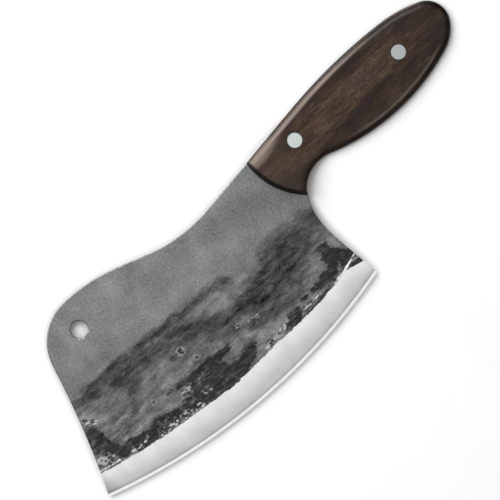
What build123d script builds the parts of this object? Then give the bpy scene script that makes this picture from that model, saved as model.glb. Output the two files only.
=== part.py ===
from build123d import *

import os
from math import radians, sqrt, tan

# Butcher's meat cleaver: a forged blade with a full tang, two wooden scales bedded on the
# tang, and two two-piece rivets through the handle.
#
# Frame, in millimetres: the origin is the centre of the hanging hole, in the blade's middle
# plane. +X runs towards the butt of the handle, +Z towards the spine, and the cutting edge
# faces down. The left side of the cleaver is -Y and the right side is +Y.

# Cutting edge: one arc, from the toe at the front to the heel below the handle.
EDGE_CENTRE_X = 82.3
EDGE_CENTRE_Z = 233.0
EDGE_RADIUS = 330.4
TOE_X = -54.1
HEEL_X = 122.3

# Spine, from the handle forwards: neck, hollow, slope, shoulder, hump and nose.
NECK_REAR = (119.5, -8.2)
NECK_FRONT = (87.5, -8.7)
HOLLOW_RADIUS = 80.0
SLOPE_TURN = 26.2
SLOPE_LENGTH = 17.8
SHOULDER_RADIUS = 93.0
SHOULDER_TURN = 20.0
HUMP_RADIUS = 27.1
HUMP_TURN = 74.3

# Grip, from the neck backwards and round: top, butt, belly, finger notch and heel. Each
# stretch is an arc that leaves the one before it smoothly, with a radius and a turn in
# degrees; a negative turn is convex and a positive one is hollow.
GRIP_RISE = 2.1  # direction in which the top leaves the neck
GRIP_ARCS = [
    (2100.0, -1.1),  # top
    (283.0, -12.0),
    (72.0, -17.8),
    (12.1, -97.0),  # butt
    (22.2, -40.9),
    (117.0, -39.4),  # belly
    (19.9, 94.3),  # finger notch
    (48.0, 23.4),  # top of the heel
]

# Blade section.
BLADE_THICKNESS = 4.8
EASED_EDGE = 0.5  # round along the spine, nose and heel
CREASE_FRONT = (-54.0, -18.0)  # below this line the sides taper towards the bevel
CREASE_REAR = (122.0, -46.0)
TAPER_ANGLE = 0.78
TAPER_DEPTH = 80.0  # the taper's cutter reaches past the cutting edge,
TAPER_REACH = 110.0  # and past the toe and the heel from the crease's middle
HONED_WIDTH = 1.2  # the fine bright bevel along the edge itself
HONED_TOP_HALF = 0.42
EDGE_HALF = 0.08
BEVEL_ANGLE = 6.6  # slope of the ground bevel where it meets the honed one
BEVEL_RADIUS = 400.0  # the ground bevel is slightly convex
BEVEL_TURN = 3.8  # arc of the bevel, enough to leave through the blade's side

# Hanging hole.
HOLE_RADIUS = 4.5
HOLE_CHAMFER = 0.4

# Scales. Their front end is an arc that bulges towards the blade.
FRONT_X = 118.9
FRONT_Z = -17.0
FRONT_RADIUS = 38.4
SCALE_THICKNESS = 8.8
SCALE_ROUND = 4.4
FRONT_BEVEL_WIDTH = 2.2  # the front end slopes back over its outer 7 mm
FRONT_BEVEL_DEPTH = 7.0
BOND_THICKNESS = 0.2  # resin bedding between each scale and the tang

# Rivets: a solid post from the left is pressed into a hollow socket from the right.
RIVET_CENTRES = {"front": (145.0, -19.0), "rear": (213.7, -29.0)}
HEAD_RADIUS = 4.0
HEAD_THICKNESS = 2.2
HEAD_CHAMFER = 0.2
SHANK_RADIUS = 2.5
PIN_RADIUS = 1.8
COLLAR_LENGTH = 1.6
PIN_TIP_GAP = 0.5

# Distances from the middle plane that follow from the sizes above.
BLADE_HALF = BLADE_THICKNESS / 2
SCALE_INNER = BLADE_HALF + BOND_THICKNESS
GRIP_HALF = SCALE_INNER + SCALE_THICKNESS
SEAT = GRIP_HALF - HEAD_THICKNESS  # floor of the counterbore under each rivet head
SOCKET_MOUTH = SEAT - COLLAR_LENGTH
PIN_TIP = SEAT - PIN_TIP_GAP  # the socket's bore itself ends level with its seat

LEFT = Plane.XZ  # seen from the left, with +X to the right and +Z up; it extrudes leftwards
BEYOND = 400.0  # a length that passes everything


def on_edge(x):
    """Point of the cutting edge's arc at x, in the side view."""
    return (x, EDGE_CENTRE_Z - sqrt(EDGE_RADIUS**2 - (x - EDGE_CENTRE_X) ** 2))


def cross_axis(x, z):
    """Axis across the cleaver through (x, z) of the side view."""
    return Axis((x, 0, z), (0, 1, 0))


def save(piece, name):
    """Label a finished piece and write it under that name."""
    piece.label = name
    export_step(piece, f"parts/{name}.step")


os.makedirs("parts", exist_ok=True)

# ---------------------------------------------------------------- outlines, in side view
with BuildSketch(LEFT) as outline:
    with BuildLine():
        neck = Line(NECK_REAR, NECK_FRONT)
        hollow = JernArc(neck @ 1, neck % 1, HOLLOW_RADIUS, -SLOPE_TURN)
        slope = PolarLine(hollow @ 1, SLOPE_LENGTH, direction=hollow % 1)
        shoulder = JernArc(slope @ 1, slope % 1, SHOULDER_RADIUS, SHOULDER_TURN)
        hump = JernArc(shoulder @ 1, shoulder % 1, HUMP_RADIUS, HUMP_TURN)
        TangentArc(hump @ 1, on_edge(TOE_X), tangent=hump % 1)
        ThreePointArc(on_edge(TOE_X), on_edge(EDGE_CENTRE_X), on_edge(HEEL_X))
        end, direction = NECK_REAR, Vector(1, 0).rotate(Axis.Z, GRIP_RISE)
        for radius, turn in GRIP_ARCS:
            stretch = JernArc(end, direction, radius, turn)
            end, direction = stretch @ 1, stretch % 1
        Line(end, on_edge(HEEL_X))
    make_face()

with BuildSketch(LEFT) as footprint:
    with Locations((FRONT_X + FRONT_RADIUS, FRONT_Z)):
        Circle(FRONT_RADIUS)
        Rectangle(BEYOND, 2 * FRONT_RADIUS, align=(Align.MIN, Align.CENTER))
    add(outline.sketch, mode=Mode.INTERSECT)

# ---------------------------------------------------------------- cutters for the blade
crease_front = Vector(CREASE_FRONT[0], 0, CREASE_FRONT[1])
crease_rear = Vector(CREASE_REAR[0], 0, CREASE_REAR[1])
across_crease = Plane(
    origin=(crease_front + crease_rear) / 2, x_dir=(0, 1, 0), z_dir=crease_rear - crease_front
)

with BuildPart() as taper_cutter:
    with BuildSketch(across_crease):
        with BuildLine():
            Polyline(
                (BLADE_HALF, 0),
                (BLADE_HALF - TAPER_DEPTH * tan(radians(TAPER_ANGLE)), -TAPER_DEPTH),
                (BLADE_THICKNESS, -TAPER_DEPTH),
                (BLADE_THICKNESS, 0),
                close=True,
            )
        make_face()
    extrude(amount=TAPER_REACH, both=True)
    mirror(about=Plane.XZ)

with BuildPart() as bevel_cutter:
    with BuildSketch(Plane((EDGE_CENTRE_X, 0, EDGE_CENTRE_Z))):
        with BuildLine():
            honed = Line((EDGE_RADIUS, EDGE_HALF), (EDGE_RADIUS - HONED_WIDTH, HONED_TOP_HALF))
            inwards = Vector(-1, 0).rotate(Axis.Z, -BEVEL_ANGLE)
            bevel = JernArc(honed @ 1, inwards, BEVEL_RADIUS, BEVEL_TURN)
            Polyline(
                bevel @ 1,
                ((bevel @ 1).X, BLADE_THICKNESS),
                (EDGE_RADIUS + 1, BLADE_THICKNESS),
                (EDGE_RADIUS + 1, EDGE_HALF),
                honed @ 0,
            )
        make_face()
    revolve(axis=cross_axis(EDGE_CENTRE_X, EDGE_CENTRE_Z))
    mirror(about=Plane.XZ)

# ---------------------------------------------------------------- blade and tang
with BuildPart() as blade:
    extrude(outline.sketch, amount=BLADE_HALF, both=True)
    rim = blade.edges().filter_by_position(Axis.Y, -BLADE_HALF, -BLADE_HALF)
    rim += blade.edges().filter_by_position(Axis.Y, BLADE_HALF, BLADE_HALF)
    cutting_edges = rim.sort_by(Axis.Z)[:2]
    fillet([e for e in rim if e not in cutting_edges], EASED_EDGE)
    add(taper_cutter.part, mode=Mode.SUBTRACT)
    add(bevel_cutter.part, mode=Mode.SUBTRACT)
    extrude(footprint.sketch, amount=BLADE_HALF, both=True)  # the tang keeps full faces
    with Locations(LEFT), Locations(*RIVET_CENTRES.values()):
        Hole(SHANK_RADIUS)
    with Locations(LEFT):
        Hole(HOLE_RADIUS)
    chamfer(blade.edges(Select.LAST).filter_by(GeomType.CIRCLE), HOLE_CHAMFER)

save(blade.part, "blade")

# ---------------------------------------------------------------- resin bedding
with BuildPart() as left_bond_layer:
    extrude(footprint.sketch, amount=SCALE_INNER)
    split(bisect_by=LEFT.offset(BLADE_HALF), keep=Keep.TOP)
    with Locations(LEFT.offset(SCALE_INNER)), Locations(*RIVET_CENTRES.values()):
        Hole(SHANK_RADIUS)

save(left_bond_layer.part, "left_bond_layer")

with BuildPart() as right_bond_layer:
    mirror(left_bond_layer.part, about=Plane.XZ)

save(right_bond_layer.part, "right_bond_layer")

# ---------------------------------------------------------------- wooden scales
with BuildPart() as left_scale:
    extrude(footprint.sketch, amount=GRIP_HALF)
    split(bisect_by=LEFT.offset(SCALE_INNER), keep=Keep.TOP)
    side = left_scale.faces().sort_by(Axis.Y)[0]
    front_edge = side.edges().sort_by(Axis.X)[0]
    chamfer(front_edge, FRONT_BEVEL_WIDTH, FRONT_BEVEL_DEPTH, reference=side)
    long_edges = left_scale.faces().sort_by(Axis.Y)[0].edges().sort_by(Axis.X)[1:]
    fillet(long_edges, SCALE_ROUND)
    with Locations(LEFT.offset(GRIP_HALF)), Locations(*RIVET_CENTRES.values()):
        CounterBoreHole(SHANK_RADIUS, HEAD_RADIUS, HEAD_THICKNESS)

save(left_scale.part, "left_scale")

with BuildPart() as right_scale:
    mirror(left_scale.part, about=Plane.XZ)

save(right_scale.part, "right_scale")

# ---------------------------------------------------------------- rivets
for position, (x, z) in RIVET_CENTRES.items():
    with BuildPart() as post:
        with BuildSketch(Plane((x, 0, z))):
            with BuildLine():
                Polyline(
                    (0, -GRIP_HALF),
                    (HEAD_RADIUS - HEAD_CHAMFER, -GRIP_HALF),
                    (HEAD_RADIUS, HEAD_CHAMFER - GRIP_HALF),
                    (HEAD_RADIUS, -SEAT),
                    (SHANK_RADIUS, -SEAT),
                    (SHANK_RADIUS, -SOCKET_MOUTH),
                    (PIN_RADIUS, -SOCKET_MOUTH),
                    (PIN_RADIUS, PIN_TIP),
                    (0, PIN_TIP),
                    close=True,
                )
            make_face()
        revolve(axis=cross_axis(x, z))

    save(post.part, f"{position}_rivet_post")

    with BuildPart() as socket:
        with BuildSketch(Plane((x, 0, z))):
            with BuildLine():
                Polyline(
                    (0, GRIP_HALF),
                    (HEAD_RADIUS - HEAD_CHAMFER, GRIP_HALF),
                    (HEAD_RADIUS, GRIP_HALF - HEAD_CHAMFER),
                    (HEAD_RADIUS, SEAT),
                    (SHANK_RADIUS, SEAT),
                    (SHANK_RADIUS, -SOCKET_MOUTH),
                    (PIN_RADIUS, -SOCKET_MOUTH),
                    (PIN_RADIUS, SEAT),
                    (0, SEAT),
                    close=True,
                )
            make_face()
        revolve(axis=cross_axis(x, z))

    save(socket.part, f"{position}_rivet_socket")
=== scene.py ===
import math

import bmesh
import bpy
import numpy as np
from mathutils import Matrix, Vector, noise


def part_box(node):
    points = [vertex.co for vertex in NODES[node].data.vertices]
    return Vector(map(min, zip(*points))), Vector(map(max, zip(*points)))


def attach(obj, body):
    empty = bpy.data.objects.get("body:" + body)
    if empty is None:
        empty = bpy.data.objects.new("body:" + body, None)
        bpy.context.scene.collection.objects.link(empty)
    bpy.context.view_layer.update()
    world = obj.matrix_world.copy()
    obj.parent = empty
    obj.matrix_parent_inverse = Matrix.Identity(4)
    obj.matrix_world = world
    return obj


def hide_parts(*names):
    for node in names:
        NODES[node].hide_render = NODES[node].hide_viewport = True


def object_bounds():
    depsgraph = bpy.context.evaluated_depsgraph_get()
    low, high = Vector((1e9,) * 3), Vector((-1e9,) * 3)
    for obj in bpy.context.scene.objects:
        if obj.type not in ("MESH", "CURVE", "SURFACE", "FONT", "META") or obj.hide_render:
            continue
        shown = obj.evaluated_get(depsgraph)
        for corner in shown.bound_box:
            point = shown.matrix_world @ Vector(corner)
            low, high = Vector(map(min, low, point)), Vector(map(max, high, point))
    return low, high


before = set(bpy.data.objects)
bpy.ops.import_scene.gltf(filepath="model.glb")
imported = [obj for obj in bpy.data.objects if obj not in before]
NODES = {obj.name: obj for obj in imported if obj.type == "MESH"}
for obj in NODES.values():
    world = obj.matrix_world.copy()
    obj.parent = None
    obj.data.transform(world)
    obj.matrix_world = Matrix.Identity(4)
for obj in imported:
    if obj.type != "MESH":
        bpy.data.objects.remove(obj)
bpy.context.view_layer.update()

# The cleaver stands upright in the frame: +X towards the butt of the handle, +Z towards the
# spine, -Y out of its left side. Blender works in metres. Sizes and places on the cleaver's
# surface are in millimetres, and MM turns them into metres.
MM = 0.001

# ------------------------------------------------------------------ where things are
BLADE = "blade"
SCALES = ("left_scale", "right_scale")
BONDS = ("left_bond_layer", "right_bond_layer")
FRONT_RIVET = ("front_rivet_post", "front_rivet_socket")
REAR_RIVET = ("rear_rivet_post", "rear_rivet_socket")

BLADE_LOW, BLADE_HIGH = (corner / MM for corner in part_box(BLADE))
BLADE_HALF = BLADE_HIGH.y
JOINT_X = (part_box(SCALES[0])[0] / MM).x  # foremost point of the handle

# ------------------------------------------------------------------ blade, in millimetres
GRID = 0.8  # spacing of the blade's mesh
GRID_PAST_JOINT = 9.0  # how far the grid goes on under the scales
COPLANAR = math.radians(0.3)  # faces that meet at less than this are one flat face
SHARP = math.radians(25)  # edges sharper than this aren't shaded smooth
EDGE_HALVES = (0.05, 0.1)  # the cutting edge lies between these from the middle plane
EDGE_TOP = -60.0  # the edge's arc is fitted to what lies below this height
HONED_WIDTH = 1.3  # of the bright band along the edge

UNDULATION = 0.045  # forging waves left in the flats
UNDULATION_LENGTH = 17.0
HAMMER_DIMPLE = 0.02
HAMMER_LENGTH = 6.0
FAR_SIDE_SHIFT = 40.0  # how far apart the two sides read their waves from the noise
SUNK = 0.03  # the flats lie this far below the CAD faces, which leaves room for the waves
SIDE_HALF = 1.3  # the relief only moves what is farther than this from the middle plane
FLAT_START = (1.0, 1.25)  # the waves set in between these widths of the bevel
JOINT_FADE = (0.0, 6.0)  # and stop between these distances ahead of the handle

WARP = 3.2  # how far the random pushes go that take the marks out of their smooth shapes
WARP_LENGTH = 7.0
WARP_SEED = 5  # Blender's noise vectors change with the clock unless they are seeded
WARP_SQUEEZE = 0.6  # the pushes change this much slower along the blade than across it
WARP_LAYERS = 3.0  # how far apart the two sides read their pushes from the noise
FINE_WARP = 0.4  # strength of the fine pushes among the wide ones,
FINE_WARP_RATE = 2.7  # and how much faster they change
SCALE_PUSH = 0.4  # share of a push that forge scale follows, in X and in Z
SMEAR_PUSH = (0.6, 0.12)  # the same for smears, in X and Z: they run along the blade
CREASE_FADE = (-1.0, 1.6)  # depths below the crease between which the smears set in
STROKE_REACH = 5.0  # farther outside a stroke than this its distance isn't followed

# ------------------------------------------------------------------ marks on the steel
# Height of the crease below which the satin surface is smeared, from toe to heel.
CREASE = [
    (-60, -17), (-32, -19.5), (-14, -21), (0, -23.3), (20, -26.6), (35, -29.3), (50, -32),
    (60, -33.6), (68, -36.5), (72, -44), (80, -47.5), (88, -46), (92, -40), (100, -39.5),
    (124, -45),
]  # fmt: skip

# Width of the ground bevel from toe to heel.
BEVEL_WIDTHS = [
    (-54, 12.0), (-33, 13.4), (-8, 14.4), (5, 15.2), (20, 15.2), (30, 14.7), (45, 15.7),
    (62, 16.3), (70, 15.5), (85, 14.5), (104, 13.6), (111, 13.8), (115, 12.4), (122, 9.0),
]  # fmt: skip

# The other marks are brush strokes: lists of (x, z, half width) points. A tone stroke also
# says how much darker or lighter it is, as a share of white, and how soft its border is.
# Strokes of one layer don't add up, but the layers do: the broad shades, the dark tones, and
# the satin with the light tones.
SATIN_TONES = [
    (0.05, 5.0, [(22, -19, 3), (45, -25, 4)]),
    (0.06, 3.0, [(-9, -1, 2), (-5, 6, 2)]),
    (-0.055, 9.0, [(82, -14, 3), (104, -22, 8), (118, -38, 5)]),
    (-0.045, 4.0, [(-10, -16, 4), (0, -21, 2)]),
    (-0.03, 2.5, [(-27, -20, 2), (-22, -21, 1)]),
]
SHADES = [
    (-0.07, 5.0, [(-27, -28, 3), (-2, -33, 6), (30, -39, 6), (50, -51, 5)]),
    (-0.09, 5.0, [(56, -55, 4), (74, -58, 8), (98, -55, 10), (121, -54, 8)]),
]
DARK_TONES = [
    (-0.14, 1.5, [(-33, -23.6, 1.8), (-20, -25.4, 2.2)]),
    (-0.11, 1.6, [(-22, -24.8, 2.4), (-8, -26.0, 2.8), (2, -26.8, 2.4)]),
    (-0.09, 1.6, [(2, -26.8, 2.4), (14, -28.8, 2.4), (24, -30.6, 2.2)]),
    (-0.12, 1.4, [(24, -30.6, 2.2), (34, -32.6, 2.2), (42, -34.2, 1.7), (58, -36.6, 1.5)]),
    (-0.09, 2.4, [(56, -36.4, 1.8), (64, -38.2, 2.4), (69, -42, 2.0)]),
    (-0.08, 2.5, [(-9, -32.5, 1.8), (-3, -33.5, 2.8), (3, -34, 2.2)]),
    (-0.03, 3.0, [(4, -34, 2.6), (16, -36, 2.8), (28, -38, 3.0)]),
    (-0.07, 3.0, [(26, -36, 2.4), (36, -39, 3.0)]),
    (-0.08, 3.0, [(39, -42, 2.4), (46, -47, 3.4), (54, -54, 3.0)]),
    (-0.10, 1.5, [(-34, -40.5, 1.2), (-27, -41.5, 0.8)]),
    (-0.05, 2.0, [(-17, -43, 1.5), (-10, -44, 1.5)]),
    (-0.07, 2.0, [(48, -63, 1.5), (58, -62.5, 1.2)]),
    (-0.06, 3.0, [(18, -44, 1.5), (26, -51, 2.0), (36, -55, 2.0)]),
    (-0.12, 3.0, [(-6, -36, 2.6), (-7, -42, 2.8), (-14, -49, 2.2)]),
    (-0.16, 0.9, [(-29, -48.2, 0.4), (-25, -49, 0.5)]),
    (-0.16, 0.9, [(-21, -51.5, 0.3), (-17, -53.5, 0.5)]),
    (-0.09, 1.0, [(-31, -46, 0.4), (-22, -45, 0.5), (-12, -45.5, 0.4)]),
    (-0.11, 1.6, [(-29, -52.5, 0.8), (-20, -53.5, 1.4), (-6, -54, 1.2)]),
    (-0.09, 2.0, [(16, -53, 1.0), (28, -56.5, 1.8), (40, -58.5, 1.4)]),
    (-0.07, 3.0, [(36, -50, 3.5), (52, -60, 4)]),
    (-0.08, 3.0, [(60, -51, 2.6), (68, -57, 4)]),
    (-0.05, 3.0, [(72, -54, 3.4), (84, -60, 4.6)]),
    (-0.13, 1.8, [(84, -51, 1.8), (103, -50.5, 1.6)]),
    (-0.09, 2.2, [(72, -60.5, 2.4), (86, -62.5, 3.2), (100, -61, 2.0)]),
    (-0.08, 2.0, [(86, -55.5, 1.6), (104, -55.5, 1.8)]),
    (-0.11, 2.5, [(90, -44, 2.2), (104, -45, 2.4)]),
    (-0.07, 3.5, [(100, -49, 4), (121, -51, 4)]),
    (-0.11, 2.5, [(60, -66, 2.8), (76, -70, 2.8), (92, -72, 2.0)]),
    (-0.06, 3.0, [(80, -67, 4), (94, -68, 4)]),
]
LIGHT_TONES = [
    (0.06, 2.5, [(-23, -33, 2.0), (-14, -32.5, 1.0)]),
    (0.07, 2.0, [(-34, -31, 1.5), (-28, -34, 2.4)]),
    (0.05, 3.0, [(-30, -38, 2), (-18, -42, 2)]),
    (0.08, 2.5, [(1, -43, 2.0), (11, -42, 1.5)]),
    (0.10, 1.5, [(7, -52.3, 1.8), (24, -54.6, 1.4)]),
    (0.06, 2.0, [(-20, -56.5, 1.5), (-8, -57, 1.0)]),
    (0.04, 3.0, [(0, -58, 2.0), (8, -60.5, 1.5)]),
    (0.07, 1.8, [(43, -39.5, 1.2), (54, -45, 3.0), (60, -48, 2)]),
    (0.06, 2.0, [(60, -44, 2), (68, -46, 1.2)]),
    (0.10, 2.0, [(72, -44.5, 1.5), (77, -45.5, 1.5)]),
    (0.06, 2.5, [(104, -53, 1.5), (108, -61, 1.5)]),
    (0.07, 2.0, [(112, -60, 1.0), (117, -59, 1.0)]),
    (0.10, 1.0, [(99, -61.8, 0.4), (108, -63, 0.5), (115, -63, 0.4)]),
    (0.06, 1.5, [(38, -66.5, 1.0), (45, -68.5, 1.5)]),
    (0.05, 2.5, [(56, -66, 2.5), (66, -76, 3)]),
    (0.10, 1.5, [(62, -78.2, 1.0), (72, -77, 1.0)]),
    (0.08, 1.5, [(82, -76, 0.8), (94, -78.5, 1.0)]),
    (0.07, 1.5, [(119, -66, 1.2), (120.5, -73, 1.2)]),
]

# Black forge scale left above the bevel.
CRUST = [
    [(-37, -38.5, 1.5), (-37, -42.5, 4.8), (-37, -47, 5.0), (-35.5, -52, 3.4), (-32, -57, 3.2)],
    [(-34, -58, 2.2), (-27, -60, 3.4), (-20, -62, 4.0), (-14, -64, 3.2), (-8, -63.5, 4.0)],
    [(7, -64.5, 0.8), (13, -66.5, 1.8), (19, -67, 2.4)],
    [(-8, -63.5, 4.0), (-2, -65.5, 3.2), (7, -68.5, 2.4), (14, -71.5, 2.6), (20, -73, 3.4)],
    [(20, -73, 3.4), (28, -74, 4.6), (37, -74.5, 4.6), (45, -74.5, 3.8), (52, -72.5, 2.4)],
    [(5, -55.8, 0.4), (12, -57.4, 1.0), (19, -59.8, 1.8), (27, -61.8, 2.8), (43, -63, 1.8)],
    [(17, -63.5, 2.2), (25, -67, 3.2), (34, -67.5, 3.0)],
    [(59.5, -77, 0.9), (61, -77.5, 0.6)],
    [(71, -80.2, 0.7), (76, -78.5, 2.4), (81, -78, 2.2)],
    [(87.5, -76, 1.2), (89.5, -76.2, 1.2)],
    [(68, -80.8, 0.3), (84, -81.6, 0.6), (92, -82, 0.5), (104, -82, 0.3)],
    [(94, -75.4, 0.8), (99, -77.2, 2.2), (106, -77.4, 2.4), (111, -76, 3.4)],
    [(113.5, -66, 3.0), (113, -71, 5.2), (115, -76.2, 4.4), (121, -77.5, 2.8)],
    [(113, -83.2, 0.4), (117, -83.8, 1.6), (122, -84.4, 2.2)],
]

# Places where the grinding has broken the scale into bright flakes.
FLAKES = [
    [(-45, -51.5, 2.2), (-40, -56, 2.8)],
    [(-34, -34, 2.0), (-30, -38, 1.0)],
    [(-29, -61.5, 1.0), (-18, -63, 0.8)],
    [(-11, -68, 1.4), (3, -70, 1.8), (14, -73, 1.6)],
    [(10, -62.5, 1.6), (15, -61, 1.8)],
    [(18, -70, 0.6), (22, -71.5, 1.0)],
    [(54, -59, 0.7), (56, -59, 0.7)],
    [(60, -62, 0.3), (67, -64, 0.6)],
    [(56, -78, 0.6), (70, -78.5, 1.4)],
    [(83, -79.5, 0.8), (95, -80.3, 0.8)],
]

# Thin lines that the grinding has left bright.
BRIGHT_LINES = [
    [(-48, -55.9, 0.45), (-36, -59.8, 0.35)],
    [(83, -79.4, 0.3), (95, -80.4, 0.3)],
    [(103, -82.4, 0.4), (112, -82.0, 0.6), (117, -81.0, 0.5), (122, -79.8, 0.3)],
]

# Pits in the left side: x, z, radius and depth; the first is a star-shaped chip.
PITS = [(25.7, -46.3, 2.0, 0.30), (28.7, -54.4, 1.3, 0.15), (-2.9, -53.8, 1.1, 0.12)]


def along_blade(x, points):
    """Reads a list of (x, value) points at x."""
    places, values = zip(*points)
    return np.interp(x, places, values)


def smooth(low, high, value):
    """Smooth step from 0 at low to 1 at high."""
    share = np.clip((value - low) / (high - low), 0, 1)
    return share * share * (3 - 2 * share)


def stroke_depth(x, z, points):
    """Distance inside a brush stroke, in millimetres; negative outside it."""
    depth = np.full(x.shape, -np.inf)
    for (x0, z0, wide0), (x1, z1, wide1) in zip(points, points[1:]):
        run_x, run_z = x1 - x0, z1 - z0
        along = ((x - x0) * run_x + (z - z0) * run_z) / (run_x**2 + run_z**2)
        along = np.clip(along, 0, 1)
        away = np.hypot(x - x0 - along * run_x, z - z0 - along * run_z)
        depth = np.maximum(depth, wide0 + along * (wide1 - wide0) - away)
    return depth


def deepest(x, z, strokes):
    """Distance inside whichever stroke reaches furthest round each point."""
    depth = np.full(x.shape, -STROKE_REACH)
    for points in strokes:
        depth = np.maximum(depth, stroke_depth(x, z, points))
    return depth


def strongest(x, z, tones):
    """The tone of whichever stroke changes each point most; strokes don't add up."""
    tone = np.zeros(x.shape)
    for strength, softness, points in tones:
        here = strength * smooth(-softness, softness, stroke_depth(x, z, points))
        tone = np.where(np.abs(here) > np.abs(tone), here, tone)
    return tone


# ------------------------------------------------------------------ the blade's mesh
def cut_across(work, faces, axis, places):
    """Cuts faces at every place along an axis, halving the list of places each time."""
    if not places or not faces:
        return
    half = len(places) // 2
    normal = Vector((0, 0, 0))
    normal[axis] = 1
    edges = {edge for face in faces for edge in face.edges}
    verts = {vert for face in faces for vert in face.verts}
    result = bmesh.ops.bisect_plane(
        work,
        geom=list(verts) + list(edges) + faces,
        dist=1e-7,
        plane_co=normal * places[half],
        plane_no=normal,
    )
    below, above = [], []
    for part in result["geom"]:
        if isinstance(part, bmesh.types.BMFace):
            side = below if part.calc_center_bounds()[axis] < places[half] else above
            side.append(part)
    cut_across(work, below, axis, places[:half])
    cut_across(work, above, axis, places[half + 1 :])


def cut_into_grid(mesh, x_max):
    """Dissolves a mesh's flat triangles and cuts it into a square grid ahead of x_max."""
    work = bmesh.new()
    work.from_mesh(mesh)
    bmesh.ops.remove_doubles(work, verts=work.verts, dist=1e-6)
    bmesh.ops.dissolve_limit(work, angle_limit=COPLANAR, verts=work.verts, edges=work.edges)
    for axis, low, high in ((0, BLADE_LOW.x, x_max), (2, BLADE_LOW.z, BLADE_HIGH.z)):
        places = [float(place) * MM for place in np.arange(low + GRID / 2, high, GRID)]
        ahead = [face for face in work.faces if min(v.co.x for v in face.verts) < x_max * MM]
        cut_across(work, ahead, axis, places)
    work.to_mesh(mesh)
    work.free()


def circle_through(x, z):
    """Centre and radius of the circle nearest to the points (x, z)."""
    rows = np.c_[2 * x, 2 * z, np.ones(len(x))]
    centre_x, centre_z, rest = np.linalg.lstsq(rows, x * x + z * z, rcond=None)[0]
    return centre_x, centre_z, math.sqrt(rest + centre_x**2 + centre_z**2)


def edge_distance(x, y, z):
    """Distance of every vertex from the cutting edge, which is one arc in the side view."""
    half = np.abs(y)
    on_edge = (half > EDGE_HALVES[0]) & (half < EDGE_HALVES[1]) & (z < EDGE_TOP)
    centre_x, centre_z, radius = circle_through(x[on_edge], z[on_edge])
    return radius - np.hypot(x - centre_x, z - centre_z)


def warp(x, y, z):
    """Random sideways pushes for every vertex, different on the two sides of the blade."""
    noise.seed_set(WARP_SEED)
    pushes = np.zeros((len(x), 2))
    for i in range(len(x)):
        layer = WARP_LAYERS if y[i] > 0 else 0.0
        here = Vector((WARP_SQUEEZE * x[i] / WARP_LENGTH, z[i] / WARP_LENGTH, layer))
        wide = noise.noise_vector(here)
        fine = noise.noise_vector(here * FINE_WARP_RATE)
        pushes[i] = (wide.x + FINE_WARP * fine.x, wide.y + FINE_WARP * fine.y)
    return WARP * pushes.T


def steel_marks(x, y, z):
    """What the steel's material reads at every vertex, by the names of its fields."""
    from_edge = edge_distance(x, y, z)
    push_x, push_z = warp(x, y, z)
    scale_at = (x + SCALE_PUSH * push_x, z + SCALE_PUSH * push_z)
    smear_at = (x + SMEAR_PUSH[0] * push_x, z + SMEAR_PUSH[1] * push_z)
    tone = strongest(*smear_at, SHADES) + strongest(*smear_at, DARK_TONES)
    tone += strongest(*smear_at, SATIN_TONES + LIGHT_TONES)
    return {
        "from_edge": from_edge,
        "bevel_share": from_edge / along_blade(x, BEVEL_WIDTHS),
        "crust": deepest(*scale_at, CRUST),
        "flakes": deepest(*scale_at, FLAKES),
        "lines": deepest(x, z, BRIGHT_LINES),
        "worn": smooth(*CREASE_FADE, along_blade(smear_at[0], CREASE) - smear_at[1]),
        "tone": tone,
    }


def forging_waves(x, y, z):
    """Height of the waves and hammer dimples at every vertex, different on the two sides."""
    waves = np.zeros(len(x))
    for i in range(len(x)):
        side = FAR_SIDE_SHIFT if y[i] > 0 else 0.0
        here = Vector((x[i], z[i] + side, side))
        waves[i] = UNDULATION * noise.noise(here / UNDULATION_LENGTH)
        waves[i] += HAMMER_DIMPLE * noise.noise(here / HAMMER_LENGTH)
    return waves


def side_relief(x, y, z, bevel_share):
    """How far every vertex of the two flat sides moves outwards."""
    flat = smooth(*FLAT_START, bevel_share) * smooth(*JOINT_FADE, JOINT_X - x)
    relief = flat * (forging_waves(x, y, z) - SUNK)
    for pit_x, pit_z, radius, depth in PITS:
        reach = np.hypot(x - pit_x, z - pit_z) / radius
        relief -= depth * np.exp(-reach * reach) * (y < 0)
    return np.where((np.abs(y) > SIDE_HALF) & (x < JOINT_X), relief, 0)


def forged_blade():
    """The CAD blade's mesh, cut finer, with the forging's relief worked into its sides."""
    mesh = NODES[BLADE].data.copy()
    mesh.materials.clear()
    cut_into_grid(mesh, JOINT_X + GRID_PAST_JOINT)
    place = np.zeros(len(mesh.vertices) * 3)
    mesh.vertices.foreach_get("co", place)
    x, y, z = (place / MM).reshape(-1, 3).T
    marks = steel_marks(x, y, z)
    y = y + np.sign(y) * side_relief(x, y, z, marks["bevel_share"])
    y = np.clip(y, -BLADE_HALF, BLADE_HALF)
    mesh.vertices.foreach_set("co", (np.stack((x, y, z), axis=1) * MM).ravel())
    for name, values in marks.items():
        field = mesh.attributes.new(name, "FLOAT", "POINT")
        field.data.foreach_set("value", values.astype(np.float32))
    mesh.update()
    piece = bpy.data.objects.new("forged_blade", mesh)
    bpy.context.scene.collection.objects.link(piece)
    for polygon in mesh.polygons:
        polygon.use_smooth = True
    mesh.set_sharp_from_angle(angle=SHARP)
    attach(piece, "root")
    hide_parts(BLADE)
    return piece


# ------------------------------------------------------------------ node graphs
DISPLAY_GAMMA = 2.2


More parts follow.
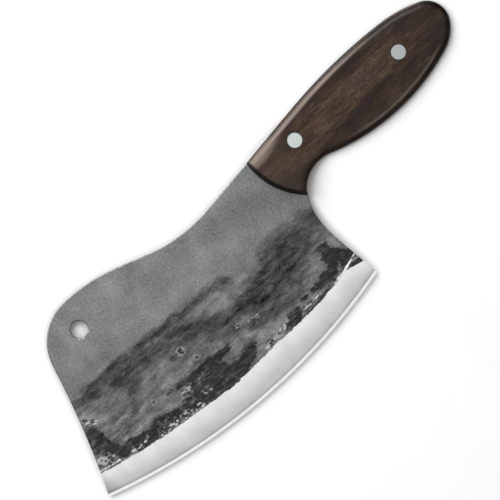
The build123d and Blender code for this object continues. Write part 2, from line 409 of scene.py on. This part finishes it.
class Graph:
    """A node tree, built by calls that take numbers or other nodes' outputs."""

    def __init__(self, owner):
        self.owner = owner  # the material or world that the tree belongs to
        owner.use_nodes = True
        self.tree = owner.node_tree
        self.tree.nodes.clear()

    def node(self, kind, **settings):
        made = self.tree.nodes.new(kind)
        for key, value in settings.items():
            setattr(made, key, value)
        return made

    def feed(self, socket, value):
        """Links an output to a socket, or writes a number or a colour into it."""
        if isinstance(value, bpy.types.NodeSocket):
            self.tree.links.new(value, socket)
        elif value is not None:
            if isinstance(value, tuple) and len(value) == 3 and socket.type == "RGBA":
                value = (*value, 1.0)
            socket.default_value = value

    def math(self, operation, a, b=None, clamp=False):
        made = self.node("ShaderNodeMath", operation=operation, use_clamp=clamp)
        for socket, value in zip(made.inputs, (a, b)):
            self.feed(socket, value)
        return made.outputs[0]

    def add(self, first, *others):
        for other in others:
            first = self.math("ADD", first, other)
        return first

    def times(self, first, *others):
        for other in others:
            first = self.math("MULTIPLY", first, other)
        return first

    def inverted(self, share):
        """One less a share."""
        return self.math("SUBTRACT", 1.0, share)

    def step(self, value, low, high, out_low=0.0, out_high=1.0):
        """Smooth step from out_low at low to out_high at high."""
        made = self.node("ShaderNodeMapRange", interpolation_type="SMOOTHSTEP")
        for socket, number in zip(made.inputs, (value, low, high, out_low, out_high)):
            self.feed(socket, number)
        return made.outputs[0]

    def field(self, name):
        return self.node("ShaderNodeAttribute", attribute_name=name).outputs["Fac"]

    def millimetres(self, stretch=(1, 1, 1), turn=0.0):
        """Object coordinates in millimetres, turned about Y and stretched."""
        where = self.node("ShaderNodeTexCoord").outputs["Object"]
        turned = self.node("ShaderNodeMapping", vector_type="POINT")
        self.feed(turned.inputs["Vector"], where)
        turned.inputs["Rotation"].default_value = (0, math.radians(turn), 0)
        turned.inputs["Scale"].default_value = (1 / MM, 1 / MM, 1 / MM)
        scaled = self.node("ShaderNodeVectorMath", operation="MULTIPLY")
        self.feed(scaled.inputs[0], turned.outputs[0])
        scaled.inputs[1].default_value = stretch
        return scaled.outputs[0]

    def noise(self, where, scale, detail=3.0, roughness=0.5, distortion=0.0):
        made = self.node("ShaderNodeTexNoise")
        self.feed(made.inputs["Vector"], where)
        made.inputs["Scale"].default_value = scale
        made.inputs["Detail"].default_value = detail
        made.inputs["Roughness"].default_value = roughness
        made.inputs["Distortion"].default_value = distortion
        return made.outputs["Fac"]

    def centred(self, value, amount):
        """A 0 to 1 value moved to either side of nought, times amount."""
        return self.times(self.math("SUBTRACT", value, 0.5), amount)

    def normal(self):
        return self.node("ShaderNodeNewGeometry").outputs["Normal"]

    def split(self, vector):
        """The three parts of a vector."""
        made = self.node("ShaderNodeSeparateXYZ")
        self.feed(made.inputs[0], vector)
        return tuple(made.outputs)

    def mix(self, share, a, b):
        """Colour a with a share of colour b."""
        made = self.node("ShaderNodeMix", data_type="RGBA")
        self.feed(made.inputs["Factor"], share)
        self.feed(made.inputs["A"], a)
        self.feed(made.inputs["B"], b)
        return made.outputs["Result"]

    def blend(self, share, a, b):
        """Number a with a share of number b."""
        made = self.node("ShaderNodeMix", data_type="FLOAT")
        self.feed(made.inputs[0], share)
        self.feed(made.inputs[2], a)
        self.feed(made.inputs[3], b)
        return made.outputs[0]

    def ramp(self, value, stops):
        made = self.node("ShaderNodeValToRGB")
        self.feed(made.inputs[0], value)
        elements = made.color_ramp.elements
        while len(elements) < len(stops):
            elements.new(0.5)
        for element, (place, colour) in zip(elements, stops):
            element.position = place
            element.color = (*colour, 1.0)
        return made.outputs[0]

    def grey(self, value, tint=(1.0, 1.0, 1.0)):
        """A display grey between 0 and 1 as a linear colour."""
        light = self.math("POWER", self.math("MAXIMUM", value, 0.0), DISPLAY_GAMMA)
        made = self.node("ShaderNodeVectorMath", operation="SCALE")
        made.inputs[0].default_value = tint
        self.feed(made.inputs["Scale"], light)
        return made.outputs[0]

    def away(self, x, z, centre):
        """Distance of (x, z) from a centre."""
        across = self.math("SUBTRACT", x, centre[0])
        up = self.math("SUBTRACT", z, centre[1])
        return self.math("SQRT", self.add(self.times(across, across), self.times(up, up)))

    def plain(self, value):
        """A linear grey."""
        made = self.node("ShaderNodeCombineColor")
        for socket in made.inputs:
            self.feed(socket, value)
        return made.outputs[0]

    def bump(self, height, distance):
        made = self.node("ShaderNodeBump")
        made.inputs["Distance"].default_value = distance
        made.inputs["Strength"].default_value = 1.0
        self.feed(made.inputs["Height"], height)
        return made.outputs[0]

    def surface(self, **inputs):
        """A principled surface, with its inputs named in lower case and underscores."""
        shader = self.node("ShaderNodeBsdfPrincipled")
        for name, value in inputs.items():
            self.feed(shader.inputs[name.replace("_", " ").title().replace("Ior", "IOR")], value)
        return self.finish(shader.outputs[0], "ShaderNodeOutputMaterial")

    def finish(self, shader, output_kind):
        """Joins a shader to a new output, and returns the material or the world."""
        output = self.node(output_kind)
        self.tree.links.new(shader, output.inputs["Surface"])
        return self.owner


def material_graph(name):
    """The empty node tree of a new material."""
    return Graph(bpy.data.materials.new(name))


# ------------------------------------------------------------------ steel
# Tones are display greys, from 0 for black to 1 for white.
SATIN = 0.478
WORN = -0.056  # what the smears below the crease take off it
SCALE_TONE = 0.115
FLAKE_TONE = 0.78
BRIGHT_TONE = 0.88
HONED_TONE = 0.99
RIM_SHADE = 0.62  # painted shade: how much of their tone the spine and other rims keep
TOE_SHADE = -45.0  # ahead of this x, painted shade darkens the bevel towards the toe
STEEL_TINT = (0.967, 1.0, 0.983)
BEVEL_TINT = (1.0, 1.0, 0.983)
RIVET_TINT = (0.917, 1.0, 0.979)


def pit_tone(g, where, speckle):
    """Every pit is a dark spot inside a broken bright rim, on the left side only."""
    x, y, z = g.split(where)
    tone = 0.0
    for pit_x, pit_z, radius, depth in PITS:
        away = g.add(g.away(x, z, (pit_x, pit_z)), g.centred(speckle, 5.0))
        core = g.step(away, 0.65 * radius, 0.30 * radius, 0.0, -0.8 * depth)
        rim = g.step(g.math("ABSOLUTE", g.math("SUBTRACT", away, radius)), 0.6, 0.2)
        tone = g.add(tone, g.add(core, g.times(rim, 0.65 * depth)))
    return g.times(tone, g.step(y, 0.5, -0.5))


def satin_tone(g, where, streaks, fine):
    """Satin steel: even above the crease, streaky and smeared below it."""
    cloud = g.noise(where, 0.06, detail=4.0, roughness=0.55)
    tone = g.add(SATIN, g.field("tone"), g.centred(cloud, 0.26), g.centred(fine, 0.28))
    drawn_out = g.millimetres(stretch=(0.4, 1.0, 1.0), turn=-8.0)
    swirl = g.noise(drawn_out, 0.15, distortion=1.2)
    smear = g.noise(streaks, 0.30, detail=4.0, roughness=0.6, distortion=0.6)
    blotched = g.millimetres(stretch=(0.42, 1.0, 1.0), turn=-7.0)
    mottling = g.noise(blotched, 0.38, detail=4.0, roughness=0.62, distortion=0.5)
    uneven = g.add(g.centred(swirl, 0.26), g.centred(smear, 0.18), g.centred(mottling, 0.38), WORN)
    return g.add(tone, g.times(g.field("worn"), uneven), pit_tone(g, where, fine))


def scale_marks(g, streaks, speckle):
    """Shares of forge scale, of soot round it, of broken flakes and of bright lines."""
    along_tears = g.millimetres(stretch=(0.55, 1.0, 1.0), turn=-14.0)
    torn = g.noise(along_tears, 0.32, detail=4.0, roughness=0.65, distortion=0.6)
    frayed = g.noise(streaks, 1.1, roughness=0.7)
    ragged = g.add(g.centred(torn, 5.5), g.centred(frayed, 5.0))
    depth = g.add(g.field("crust"), ragged)
    in_flakes = g.step(g.add(g.field("flakes"), ragged), -0.9, 0.9)
    flakes = g.times(in_flakes, g.step(speckle, 0.49, 0.58))
    chips = g.times(in_flakes, g.step(speckle, 0.48, 0.40))
    crust = g.math("MAXIMUM", g.step(depth, -0.3, 0.35), chips)
    soot = g.step(depth, -1.8, 0.0)
    lines = g.step(g.add(g.field("lines"), g.centred(speckle, 1.6)), -0.25, 0.25)
    return crust, soot, flakes, lines


def bevel_tone(g, where, from_edge, bevel_share):
    """Ground bevel: lines across the edge, with painted shade above the honed bevel and at the
    toe.
    """
    across_edge = g.millimetres(stretch=(3.0, 1.0, 0.12), turn=14.0)
    scratches = g.noise(across_edge, 1.0, roughness=0.6)
    # Painted shade of the rounded grind darkens the bevel towards the edge and above the honed
    # bevel; painted shade also darkens the toe.
    tone = g.add(
        g.step(bevel_share, 0.1, 1.0, 0.72, 0.885),
        g.centred(scratches, 0.10),
        g.centred(g.noise(where, 0.12, detail=2.0), 0.10),
        g.step(from_edge, 3.6, HONED_WIDTH, 0.0, -0.09),
        g.step(g.split(where)[0], TOE_SHADE, BLADE_LOW.x, 0.0, -0.16),
    )
    honed = g.step(from_edge, HONED_WIDTH + 0.2, HONED_WIDTH - 0.15)
    return g.blend(honed, tone, HONED_TONE)


def forged_steel():
    g = material_graph("forged_steel")
    where = g.millimetres()
    streaks = g.millimetres(stretch=(0.22, 1.0, 1.0), turn=-9.0)
    fine = g.noise(where, 0.9, roughness=0.6)
    speckled = g.millimetres(stretch=(0.6, 1.0, 1.0), turn=-16.0)
    speckle = g.noise(speckled, 0.75, roughness=0.6)
    from_edge, bevel_share = g.field("from_edge"), g.field("bevel_share")

    # Forge scale lies on the satin, and the grinding has broken it up near the bevel.
    crust, soot, flakes, lines = scale_marks(g, streaks, speckle)
    tone = g.add(satin_tone(g, where, streaks, fine), g.times(soot, -0.05))
    patches = g.step(g.noise(where, 0.35, roughness=0.6), 0.54, 0.70, 0.0, 0.14)
    grit = g.centred(g.noise(streaks, 0.7, detail=4.0, roughness=0.65), 0.55)
    tone = g.blend(g.times(crust, 0.97), tone, g.add(SCALE_TONE, grit, patches))
    tone = g.blend(g.times(flakes, 0.8), tone, FLAKE_TONE)
    tone = g.blend(lines, tone, BRIGHT_TONE)

    # The bevel's upper border isn't quite even.
    wobble = g.add(g.centred(g.noise(where, 0.5), 0.07), g.centred(speckle, 0.12))
    ground = g.step(g.add(bevel_share, wobble), 1.015, 0.985)
    tone = g.blend(ground, tone, bevel_tone(g, where, from_edge, bevel_share))

    # The spine, the nose and the rim of the tang are left rough, and painted shade darkens their
    # colour.
    dull_and_shaded = g.step(g.math("ABSOLUTE", g.split(g.normal())[1]), 0.85, 0.35)
    tone = g.blend(dull_and_shaded, tone, g.times(tone, RIM_SHADE))

    scaly = g.math("SUBTRACT", crust, ground, clamp=True)
    return g.surface(
        base_color=g.mix(ground, g.grey(tone, STEEL_TINT), g.grey(tone, BEVEL_TINT)),
        metallic=g.inverted(scaly),
        roughness=g.blend(dull_and_shaded, g.blend(ground, g.blend(crust, 0.42, 0.62), 0.30), 0.55),
        specular_ior_level=g.blend(scaly, 0.5, 0.25),
        normal=g.bump(g.add(g.times(fine, 0.5), g.times(crust, 1.4)), 0.02 * MM),
    )


def rivet_steel(name, tone):
    g = material_graph(name)
    lines = g.noise(g.millimetres(stretch=(0.3, 1.0, 5.0), turn=35.0), 1.0, roughness=0.6)
    cloud = g.noise(g.millimetres(), 0.5, detail=2.0)
    value = g.add(tone, g.centred(lines, 0.07), g.centred(cloud, 0.04))
    return g.surface(
        base_color=g.grey(value, RIVET_TINT),
        metallic=1.0,
        roughness=g.add(0.28, g.centred(lines, 0.08)),
        normal=g.bump(lines, 0.004 * MM),
    )


# ------------------------------------------------------------------ wood and resin
WOOD_TONES = [  # from the dark to the pale bands of the grain
    (0.42, (0.0075, 0.0032, 0.0016)),
    (0.475, (0.0180, 0.0082, 0.0042)),
    (0.525, (0.0310, 0.0160, 0.0092)),
    (0.58, (0.0600, 0.0360, 0.0235)),
]
TAN = (0.040, 0.0205, 0.0095)
PLUM = (0.024, 0.0115, 0.0125)
PALE_WOOD = (0.060, 0.042, 0.030)
# colour of the painted highlights on the wood's rounded edges
HIGHLIGHT_WOOD = (0.168, 0.131, 0.109)
DARK_WOOD_AND_SHADE = (0.002, 0.0015, 0.001)  # the darkest wood, and the painted shade on the ends
SHADED_WALL = (0.004, 0.003, 0.0025)
PORE = (0.004, 0.002, 0.0015)

# Places on the grip: x, or (x, z). A pair of x fades something in from the first to the second.
PALE_MIDDLE = (180.0, -24.0)  # the paler middle of each scale runs through here,
PALE_MIDDLE_FALL = 0.146  # falling this much per millimetre towards the butt
SLOPE_END = (JOINT_X + 1.2, JOINT_X + 2.6)  # where the sloped front end turns into the sides
FRONT_PALING = (152.0, 126.0)
BUTT_DARKENING = (200.0, 240.0)
HIGHLIGHT_CORNER = (126.0, -10.0)  # a painted highlight lies round here,
CORNER_SIZE = (15.0, 4.5)  # this far along and up
# the painted highlights on the top edge and on the lower ridge fade in and out along these x
TOP_HIGHLIGHT = (218.0, 172.0)
RIDGE_HIGHLIGHT = ((160.0, 178.0), (236.0, 222.0))


def fresh_wood(g):
    """Colour of the fresh wood, with the grain, its fine streaks and its pores."""
    along = g.millimetres(stretch=(0.16, 1.0, 1.0), turn=-5.0)
    figure = g.noise(along, 0.14, detail=4.0, roughness=0.55, distortion=0.6)
    along = g.millimetres(stretch=(0.10, 0.8, 0.8), turn=-4.0)
    rings = g.noise(along, 0.9, detail=4.0, roughness=0.6, distortion=0.8)
    along = g.millimetres(stretch=(0.16, 1.2, 1.2), turn=-5.0)
    streaks = g.noise(along, 0.9, detail=4.0, roughness=0.72, distortion=0.8)
    along = g.millimetres(stretch=(0.5, 1.4, 1.4), turn=-5.0)
    pore = g.step(g.noise(along, 1.0, roughness=0.7), 0.47, 0.38)
    grain = g.add(g.times(figure, 0.46), g.times(rings, 0.24), g.times(streaks, 0.30))
    colour = g.ramp(grain, WOOD_TONES)
    hue = g.noise(g.millimetres(stretch=(0.4, 1.0, 1.0)), 0.20)
    plum, tan = g.mix(0.40, colour, PLUM), g.mix(0.40, colour, TAN)
    colour = g.mix(g.step(hue, 0.50, 0.41), colour, plum)
    colour = g.mix(g.step(hue, 0.51, 0.60), colour, tan)
    return g.mix(g.times(pore, 0.65), colour, PORE), grain, streaks, pore


def painted_highlight(g, x, z, normal_z, grain):
    """Painted highlights where light catches the rounded wood: top edge, its front corner, lower
    ridge.
    """
    top = g.times(g.step(normal_z, 0.08, 0.32), g.step(normal_z, 0.92, 0.48))
    top = g.times(top, g.step(x, *TOP_HIGHLIGHT, 0.0, 0.85))
    across = g.times(g.math("SUBTRACT", x, HIGHLIGHT_CORNER[0]), 1 / CORNER_SIZE[0])
    up = g.times(g.math("SUBTRACT", z, HIGHLIGHT_CORNER[1]), 1 / CORNER_SIZE[1])
    corner = g.step(g.add(g.times(across, across), g.times(up, up)), 1.6, 0.0, 0.0, 0.80)
    ridge = g.times(g.step(normal_z, -0.03, -0.16), g.step(normal_z, -0.50, -0.24))
    front, butt = RIDGE_HIGHLIGHT
    ridge = g.times(ridge, g.step(x, *front), g.step(x, *butt, 0.0, 0.34))
    highlight = g.math("MAXIMUM", g.math("MAXIMUM", top, corner), ridge)
    return g.times(highlight, g.step(grain, 0.40, 0.56, 0.70, 1.0))


def grip_wood():
    g = material_graph("grip_wood")
    x, _, z = g.split(g.millimetres())
    normal_x, _, normal_z = g.split(g.normal())
    colour, grain, streaks, pore = fresh_wood(g)
    colour = g.mix(g.step(x, *FRONT_PALING, 0.0, 0.30), colour, PALE_WOOD)

    # The wood is darker away from the pale middle of each scale and towards the butt.
    middle_line = g.add(PALE_MIDDLE[1] + PALE_MIDDLE_FALL * PALE_MIDDLE[0], g.times(x, -PALE_MIDDLE_FALL))
    from_middle = g.math("ABSOLUTE", g.math("SUBTRACT", z, middle_line))
    darkened = g.add(
        g.step(from_middle, 4.0, 15.0, 0.0, 0.32),
        g.step(x, *BUTT_DARKENING, 0.0, 0.34),
    )
    colour = g.mix(darkened, colour, DARK_WOOD_AND_SHADE)

    # Painted shade makes the ends, which face away from the light, and the sloped front end nearly
    # black.
    on_sides = g.step(x, *SLOPE_END)
    shaded_ends = g.step(g.math("ABSOLUTE", normal_x), 0.30, 0.85)
    shaded_ends = g.math("MAXIMUM", shaded_ends, g.inverted(on_sides))
    colour = g.mix(g.times(shaded_ends, 0.85), colour, DARK_WOOD_AND_SHADE)

    # Painted shade darkens the wall along the top, which reflects little, and the painted
    # highlights leave it and the front end out.
    wall = g.step(normal_z, 0.60, 0.95)
    colour = g.mix(g.times(wall, 0.6), colour, SHADED_WALL)
    highlight = g.times(painted_highlight(g, x, z, normal_z, grain), on_sides, g.inverted(wall))
    shine = g.times(g.blend(shaded_ends, 0.19, 0.05), g.inverted(wall))
    return g.surface(
        # painted highlights on the rounded edges of the wood
        base_color=g.mix(highlight, colour, HIGHLIGHT_WOOD),
        roughness=g.add(0.38, g.centred(streaks, 0.20)),
        specular_ior_level=shine,
        normal=g.bump(g.add(g.times(pore, -1.0), g.times(streaks, 0.5)), 0.012 * MM),
    )


def bedding_resin():
    g = material_graph("bedding_resin")
    cloud = g.noise(g.millimetres(), 0.8)
    return g.surface(
        base_color=g.grey(g.add(0.2, g.centred(cloud, 0.06))),
        roughness=g.add(0.5, g.centred(cloud, 0.2)),
        normal=g.bump(cloud, 0.01 * MM),
    )


# ------------------------------------------------------------------ stage, in metres
NEARLY = math.radians(1.6)  # how near to level, or to straight on, still counts as such
FLOOR_REACH = 40.0
FLOOR_WHITE = 0.90
TABLE_WHITE = 0.86
TABLE_BEND = (0.005, 0.031)  # the table rises between these distances behind the joint
TABLE_GAP = 0.0003  # between the blade and the table
GRIP_TABLE_Y = -0.006  # where the table meets the grip's sides
CONTACT_REACH = 0.004  # how near the cleaver the table darkens
CONTACT_SHADE = 0.18
BACKGROUND = (0.86, 0.86, 0.86)

# Lamps: sizes in metres, powers in watts, and angles in degrees.
LAMP_X = -0.05  # from the cleaver's middle
LAMP_POWER = 16.0
KEY_SIZE = (1.2, 0.36)
KEY_TILT = 50
TABLE_LIGHT_SIZE = (1.1, 1.1)
TABLE_LIGHT_TILT = 45
SUN_POWER = 1.6  # per square metre
SUN_WIDTH = 40

FRAME_WIDTH = 0.2553  # how much of the scene the picture spans
CAMERA_ROLL = math.radians(48.7)  # turns the handle up to the right
CAMERA_SHIFT = (-0.008, 0.0023)  # of the picture's centre from the cleaver's, in X and Z
SENSOR = 36.0  # width, in millimetres as lenses are
LENS = 1000.0


def sheet(name, corners, faces, material):
    """A paper surface that lights and shades nothing but itself."""
    mesh = bpy.data.meshes.new(name)
    mesh.from_pydata(corners, [], faces)
    mesh.materials.append(material)
    made = bpy.data.objects.new(name, mesh)
    bpy.context.scene.collection.objects.link(made)
    for flag in ("visible_diffuse", "visible_glossy", "visible_transmission", "visible_shadow"):
        setattr(made, flag, False)
    return made


def shade_as_flat(g, diffuse):
    """Shades a bent sheet as if all of it faced the camera."""
    direction = g.node("ShaderNodeCombineXYZ")
    direction.inputs["Y"].default_value = -1
    g.feed(diffuse.inputs["Normal"], direction.outputs[0])


def contact_shade(g):
    """The share of its tone that the table keeps, less close to the cleaver."""
    near = g.node("ShaderNodeAmbientOcclusion", samples=8)
    near.inputs["Distance"].default_value = CONTACT_REACH
    return g.add(1 - CONTACT_SHADE, g.times(near.outputs["AO"], CONTACT_SHADE))


def paper(name, white, shown, is_table=False):
    """White paper that only shows where shown, a function of the graph, says so."""
    g = material_graph(name)
    tone = g.add(white, g.centred(g.noise(g.millimetres(), 0.05, detail=2.0), 0.01))
    diffuse = g.node("ShaderNodeBsdfDiffuse")
    if is_table:
        shade_as_flat(g, diffuse)
        tone = g.times(tone, contact_shade(g))
    g.feed(diffuse.inputs["Color"], g.grey(tone))
    clear = g.node("ShaderNodeBsdfTransparent")
    mixed = g.node("ShaderNodeMixShader")
    g.feed(mixed.inputs[0], shown(g))
    g.tree.links.new(clear.outputs[0], mixed.inputs[1])
    g.tree.links.new(diffuse.outputs[0], mixed.inputs[2])
    return g.finish(mixed.outputs[0], "ShaderNodeOutputMaterial")


def towards_viewer(g):
    """The direction from which a point is seen."""
    return g.split(g.node("ShaderNodeNewGeometry").outputs["Incoming"])


def floor_shown(g):
    """The floor isn't seen by the camera at a grazing angle, so the level main view misses it."""
    steep = g.math("GREATER_THAN", towards_viewer(g)[2], math.sin(NEARLY))
    camera = g.node("ShaderNodeLightPath").outputs["Is Camera Ray"]
    return g.math("MAXIMUM", steep, g.inverted(camera))


def table_shown(g):
    """The table behind the cleaver is seen only straight on, from the left side."""
    return g.math("LESS_THAN", towards_viewer(g)[1], -math.cos(NEARLY))


def floor_sheet(floor_z):
    """Pale floor under the cleaver."""
    ends = ((-1, -1), (1, -1), (1, 1), (-1, 1))
    corners = [(x * FLOOR_REACH, y * FLOOR_REACH, floor_z) for x, y in ends]
    material = paper("floor_paper", FLOOR_WHITE, floor_shown)
    return sheet("floor", corners, [(0, 1, 2, 3)], material)


def table_sheet():
    """White paper behind the cleaver: low behind the blade, rising behind the thicker grip."""
    blade_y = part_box(BLADE)[1].y + TABLE_GAP
    bend = [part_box(SCALES[0])[0].x + past for past in TABLE_BEND]
    stations = [(-1, blade_y), (bend[0], blade_y), (bend[1], GRIP_TABLE_Y), (1, GRIP_TABLE_Y)]
    corners = [(x, y, z) for x, y in stations for z in (-1, 1)]
    faces = [(i, i + 1, i + 3, i + 2) for i in (0, 2, 4)]
    material = paper("table_paper", TABLE_WHITE, table_shown, is_table=True)
    return sheet("table", corners, faces, material)


def softbox(name, side, tilt, target, size):
    """A lamp a metre away from one side of the cleaver, tilted up from it in degrees."""
    data = bpy.data.lights.new(name, "AREA")
    data.shape = "RECTANGLE"
    data.size, data.size_y = size
    data.energy = LAMP_POWER
    lamp = bpy.data.objects.new(name, data)
    tilt = math.radians(tilt)
    lamp.location = target + Vector((LAMP_X, side * math.cos(tilt), math.sin(tilt)))
    lamp.rotation_mode = "QUATERNION"
    lamp.rotation_quaternion = (target - lamp.location).to_track_quat("-Z", "Y")
    bpy.context.scene.collection.objects.link(lamp)
    return lamp


def floor_sun():
    """A wide soft sun that lights the whole floor alike."""
    data = bpy.data.lights.new("floor_sun", "SUN")
    data.angle = math.radians(SUN_WIDTH)
    data.energy = SUN_POWER
    lamp = bpy.data.objects.new("floor_sun", data)
    bpy.context.scene.collection.objects.link(lamp)
    return lamp


def lit_by(lamp, objects):
    """Lets a lamp light only the objects listed."""
    lit = bpy.data.collections.new(lamp.name + "_lit")
    for made in objects:
        lit.objects.link(made)
    lamp.light_linking.receiver_collection = lit


def studio_world():
    """Lights the two sides of the cleaver and its top, and leaves its ends and foot darker."""
    world = bpy.data.worlds.new("studio")
    bpy.context.scene.world = world
    g = Graph(world)
    _, across, height = g.split(g.node("ShaderNodeTexCoord").outputs["Generated"])
    sides = g.step(g.math("ABSOLUTE", across), 0.35, 0.9, 0.0, 0.55)
    above = g.step(height, 0.0, 0.8, 0.0, 0.25)
    below = g.times(g.step(height, -0.1, -0.2), g.step(height, -0.5, -0.3))
    light = g.add(0.28, sides, above, g.times(below, g.times(sides, 0.7)))
    seen = g.node("ShaderNodeLightPath").outputs["Is Camera Ray"]
    background = g.node("ShaderNodeBackground")
    g.feed(background.inputs["Color"], g.mix(seen, g.plain(light), BACKGROUND))
    g.finish(background.outputs[0], "ShaderNodeOutputWorld")


def build_stage(blade, floor_z, middle):
    """Floor, table, world and lamps, each lamp lighting only what it is meant for."""
    floor = floor_sheet(floor_z)
    table = table_sheet()
    studio_world()
    cleaver = [*NODES.values(), blade]
    for name, side in (("key", -1), ("back_key", 1)):
        lit_by(softbox(name, side, KEY_TILT, middle, KEY_SIZE), cleaver)
    table_light = softbox("table_light", -1, TABLE_LIGHT_TILT, middle, TABLE_LIGHT_SIZE)
    lit_by(table_light, [table])
    lit_by(floor_sun(), [floor])


def build_camera(middle):
    """A long lens looks straight at the left side, turned so that the handle points up."""
    data = bpy.data.cameras.new("camera")
    data.sensor_width, data.lens = SENSOR, LENS
    data.clip_end = 100.0
    camera = bpy.data.objects.new("camera", data)
    bpy.context.scene.collection.objects.link(camera)
    right = Vector((math.cos(CAMERA_ROLL), 0, -math.sin(CAMERA_ROLL)))
    up = Vector((math.sin(CAMERA_ROLL), 0, math.cos(CAMERA_ROLL)))
    back = Vector((0, -1, 0))
    turned = Matrix((right, up, back)).transposed().to_4x4()
    centre = Vector((middle.x + CAMERA_SHIFT[0], 0, middle.z + CAMERA_SHIFT[1]))
    distance = FRAME_WIDTH * LENS / SENSOR
    camera.matrix_world = Matrix.Translation(centre + back * distance) @ turned
    bpy.context.scene.camera = camera


# ------------------------------------------------------------------ put together
def repaint(names, material):
    for name in names:
        NODES[name].data.materials.clear()
        NODES[name].data.materials.append(material)


forged = forged_blade()
forged.data.materials.append(forged_steel())
repaint(SCALES, grip_wood())
repaint(BONDS, bedding_resin())
repaint(FRONT_RIVET, rivet_steel("front_rivet_steel", 0.835))
repaint(REAR_RIVET, rivet_steel("rear_rivet_steel", 0.715))
low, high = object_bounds()
middle = (low + high) / 2
build_stage(forged, low.z, middle)
build_camera(middle)
bpy.context.scene.view_settings.view_transform = "Standard"
